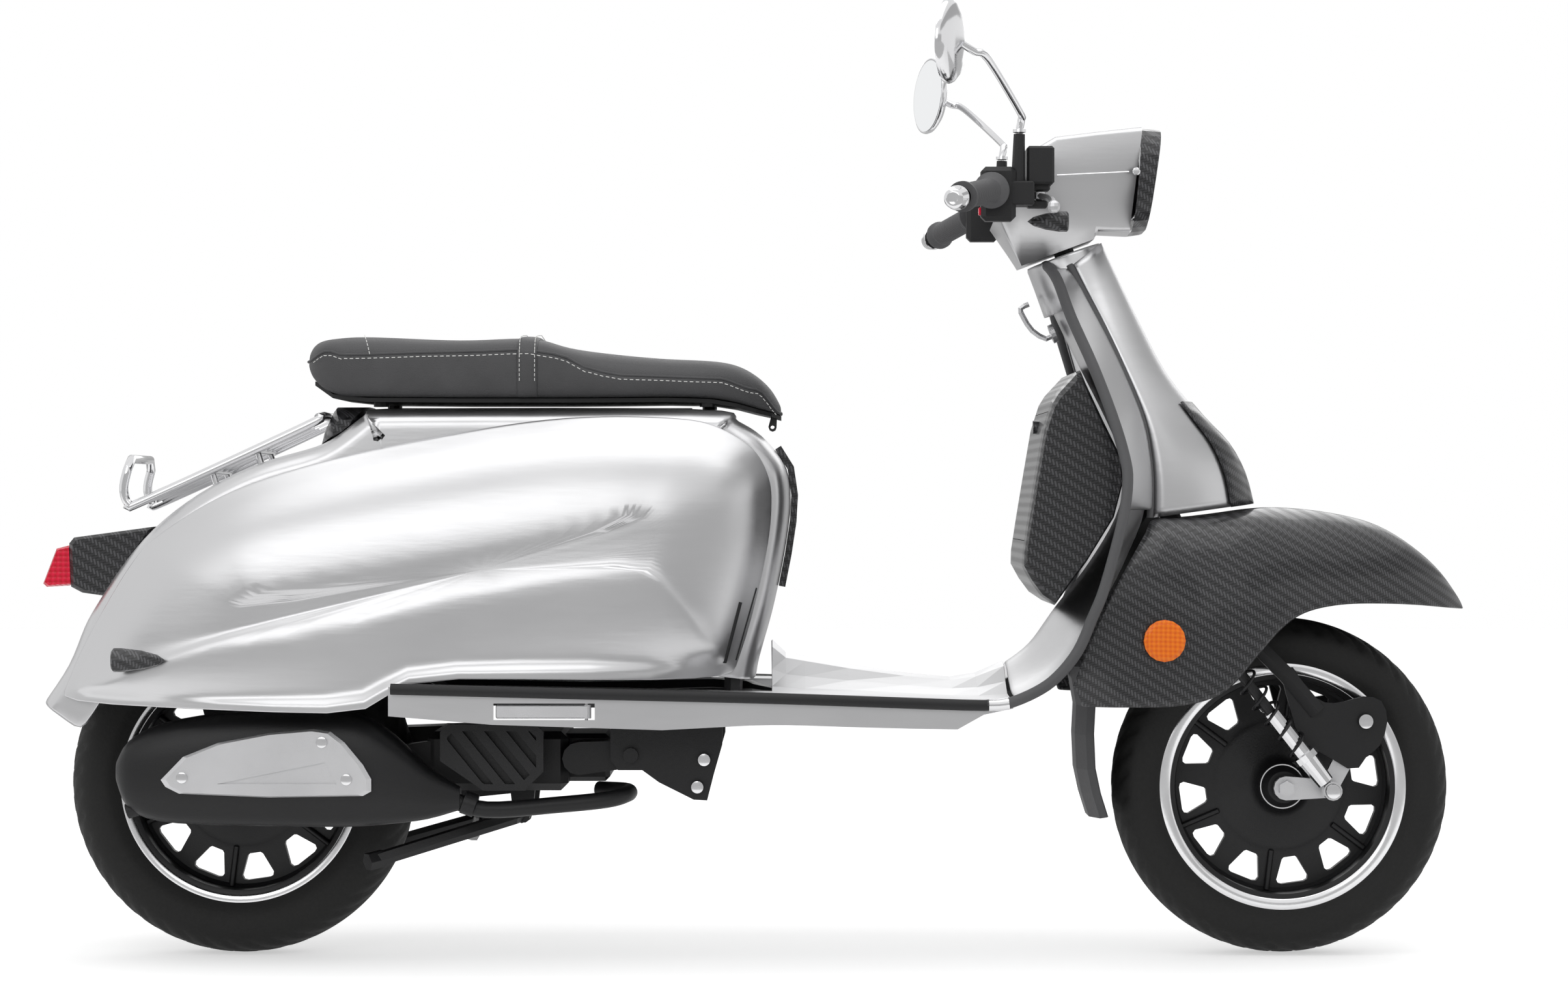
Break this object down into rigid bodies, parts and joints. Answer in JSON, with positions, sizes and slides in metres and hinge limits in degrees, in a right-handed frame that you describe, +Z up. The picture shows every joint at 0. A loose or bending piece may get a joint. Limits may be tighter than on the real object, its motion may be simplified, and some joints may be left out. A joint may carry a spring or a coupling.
{
  "type": "moped scooter",
  "caption": "Step-through moped scooter with bulged side panels, trailing-link fork, swinging engine, lifting seat, glovebox flap, mirrors and folding stand.",
  "frame": {"origin": "on the ground midway between the front and rear ends, in the middle plane", "axes": "+X forward, +Y to the rider's left, +Z up"},
  "size_m": [1.919, 0.7606, 1.2524],
  "materials": {
    "silver": "polished metallic silver",
    "carbon": "twill carbon fibre under gloss",
    "black_metal": "satin black",
    "black_plastic": "fine-grained black",
    "tyre": "treaded rubber",
    "rubber": "soft dark grey",
    "leather": "dark grey with pale stitching",
    "chrome": "polished",
    "amber": "reflector",
    "red": "translucent red",
    "clear": "clear lens",
    "aluminium": "cast and machined"
  },
  "bodies": {
    "chassis": {"main_frame": "black_metal", "floor_board": "silver", "edge_trim": "rubber", "leg_shield": "silver", "horncast": "silver", "front_mudguard": "carbon", "horn_grille": "carbon", "reflector_right": "amber", "reflector_left": "amber", "glovebox": "carbon", "body_shell": "silver", "side_panel_right": "silver", "side_panel_left": "silver", "body_grille": "carbon", "tail_light_housing": "carbon", "tail_light_lens": "red", "rear_indicator_right": "carbon", "rear_indicator_left": "carbon", "rear_rack": "chrome", "storage_bucket": "black_plastic", "bag_hook": "aluminium", "splash_flap": "rubber"},
    "glovebox_flap": {"glovebox_door": "carbon"},
    "right_peg": {"peg_right": "aluminium"},
    "left_peg": {"peg_left": "aluminium"},
    "seat": {"seat_base": "black_plastic", "seat_cushion": "leather"},
    "steering": {"steering_column": "black_metal", "headset": "silver", "headlight_bezel": "carbon", "headlight_lens": "clear", "control_right": "black_plastic", "control_left": "black_plastic", "grip_left": "rubber", "front_indicator_right": "carbon", "front_indicator_left": "carbon"},
    "throttle": {"throttle_grip": "rubber"},
    "right_lever": {"lever_right": "aluminium"},
    "left_lever": {"lever_left": "aluminium"},
    "right_mirror": {"mirror_right": "chrome"},
    "left_mirror": {"mirror_left": "chrome"},
    "stop_switch": {"stop_button": "red"},
    "front_arm": {"front_link": "aluminium"},
    "front_wheel": {"front_tyre": "tyre", "front_rim": "black_metal"},
    "right_damper": {"front_shock_upper_right": "black_metal", "front_spring_right": "black_metal"},
    "right_slider": {"front_shock_lower_right": "chrome"},
    "left_damper": {"front_shock_upper_left": "black_metal", "front_spring_left": "black_metal"},
    "left_slider": {"front_shock_lower_left": "chrome"},
    "engine": {"engine_block": "aluminium", "radiator_grille": "black_plastic", "muffler": "black_metal", "heat_shield": "aluminium"},
    "rear_wheel": {"rear_tyre": "tyre", "rear_rim": "black_metal"},
    "rear_damper": {"rear_shock_upper": "black_metal"},
    "rear_slider": {"rear_shock_lower": "chrome"},
    "stand": {"centre_stand": "black_metal"}
  },
  "joints": [
    {"name": "steering_turn", "type": "hinge", "parent": "chassis", "child": "steering", "pos_m": [0.709, 0, 0.2276], "axis": [-0.3746, 0, 0.9272], "range_deg": [-40, 40]},
    {"name": "front_arm_swing", "type": "hinge", "parent": "steering", "child": "front_arm", "pos_m": [0.8135, 0, 0.3182], "axis": [0, 1, 0], "range_deg": [-4, 10], "stiffness_Nm_per_rad": 1200, "springref_deg": -3.07},
    {"name": "front_wheel_spin", "type": "hinge", "parent": "front_arm", "child": "front_wheel", "pos_m": [0.709, 0, 0.22763], "axis": [0, 1, 0], "continuous": true},
    {"name": "right_damper_tilt", "type": "hinge", "parent": "steering", "child": "right_damper", "pos_m": [0.615, -0.107, 0.4205], "axis": [0, 1, 0], "range_deg": [-1, 2]},
    {"name": "right_damper_slide", "type": "slide", "parent": "right_damper", "child": "right_slider", "axis": [0.6152, 0, -0.7884], "range_m": [-0.018, 0.008], "deforming": ["front_spring_right"]},
    {"name": "left_damper_tilt", "type": "hinge", "parent": "steering", "child": "left_damper", "pos_m": [0.615, 0.107, 0.4205], "axis": [0, 1, 0], "range_deg": [-1, 2]},
    {"name": "left_damper_slide", "type": "slide", "parent": "left_damper", "child": "left_slider", "axis": [0.6152, 0, -0.7884], "range_m": [-0.018, 0.008], "deforming": ["front_spring_left"]},
    {"name": "engine_swing", "type": "hinge", "parent": "chassis", "child": "engine", "pos_m": [-0.165, 0, 0.276], "axis": [0, 1, 0], "range_deg": [-2, 3.5], "stiffness_Nm_per_rad": 6000, "springref_deg": -2.98},
    {"name": "rear_wheel_spin", "type": "hinge", "parent": "engine", "child": "rear_wheel", "pos_m": [-0.694, 0, 0.23291], "axis": [0, 1, 0], "continuous": true},
    {"name": "rear_damper_tilt", "type": "hinge", "parent": "chassis", "child": "rear_damper", "pos_m": [-0.612, 0.16, 0.56], "axis": [0, 1, 0], "range_deg": [-1, 1.5]},
    {"name": "rear_damper_slide", "type": "slide", "parent": "rear_damper", "child": "rear_slider", "axis": [-0.2254, 0, -0.9743], "range_m": [-0.032, 0.019]},
    {"name": "stand_swing", "type": "hinge", "parent": "engine", "child": "stand", "pos_m": [-0.313, 0, 0.193], "axis": [0, -1, 0], "range_deg": [0, 75], "stiffness_Nm_per_rad": 3, "springref_deg": -68.75},
    {"name": "seat_lift", "type": "hinge", "parent": "chassis", "child": "seat", "pos_m": [0.022, 0, 0.712], "axis": [0, 1, 0], "range_deg": [0, 65]},
    {"name": "glovebox_flap_drop", "type": "hinge", "parent": "chassis", "child": "glovebox_flap", "pos_m": [0.3558, 0, 0.5596], "axis": [0, -1, 0], "range_deg": [0, 75]},
    {"name": "right_peg_fold", "type": "hinge", "parent": "chassis", "child": "right_peg", "pos_m": [-0.218, -0.234, 0.33975], "axis": [0, 0, 1], "range_deg": [0, 90]},
    {"name": "left_peg_fold", "type": "hinge", "parent": "chassis", "child": "left_peg", "pos_m": [-0.218, 0.234, 0.33975], "axis": [0, 0, -1], "range_deg": [0, 90]},
    {"name": "throttle_twist", "type": "hinge", "parent": "steering", "child": "throttle", "pos_m": [0.30835, -0.213, 1.01603], "axis": [-0.3337, -0.9321, -0.141], "range_deg": [0, 70], "stiffness_Nm_per_rad": 0.5, "springref_deg": -11.46},
    {"name": "right_lever_pull", "type": "hinge", "parent": "steering", "child": "right_lever", "pos_m": [0.372, -0.172, 1.012], "axis": [0, 0, -1], "range_deg": [0, 16], "stiffness_Nm_per_rad": 4, "springref_deg": -5.73},
    {"name": "left_lever_pull", "type": "hinge", "parent": "steering", "child": "left_lever", "pos_m": [0.372, 0.172, 1.012], "axis": [0, 0, 1], "range_deg": [0, 16], "stiffness_Nm_per_rad": 4, "springref_deg": -5.73},
    {"name": "right_mirror_turn", "type": "hinge", "parent": "steering", "child": "right_mirror", "pos_m": [0.3452, -0.1888, 1.0915], "axis": [0, 0, 1], "range_deg": [-25, 25]},
    {"name": "left_mirror_turn", "type": "hinge", "parent": "steering", "child": "left_mirror", "pos_m": [0.3452, 0.1888, 1.0915], "axis": [0, 0, 1], "range_deg": [-25, 25]},
    {"name": "stop_button_press", "type": "slide", "parent": "steering", "child": "stop_switch", "axis": [1, 0, 0], "range_m": [0, 0.0025], "stiffness_N_per_m": 400, "springref_m": -0.001}
  ],
  "couplings": [
    {"joint": "right_damper_tilt", "follows": "front_arm_swing", "ratio": 0.17387},
    {"joint": "right_damper_slide", "follows": "front_arm_swing", "m_per_rad": -0.09355},
    {"joint": "left_damper_tilt", "follows": "front_arm_swing", "ratio": 0.17387},
    {"joint": "left_damper_slide", "follows": "front_arm_swing", "m_per_rad": -0.09355},
    {"joint": "rear_damper_tilt", "follows": "engine_swing", "ratio": 0.2918},
    {"joint": "rear_damper_slide", "follows": "engine_swing", "m_per_rad": -0.49952}
  ]
}
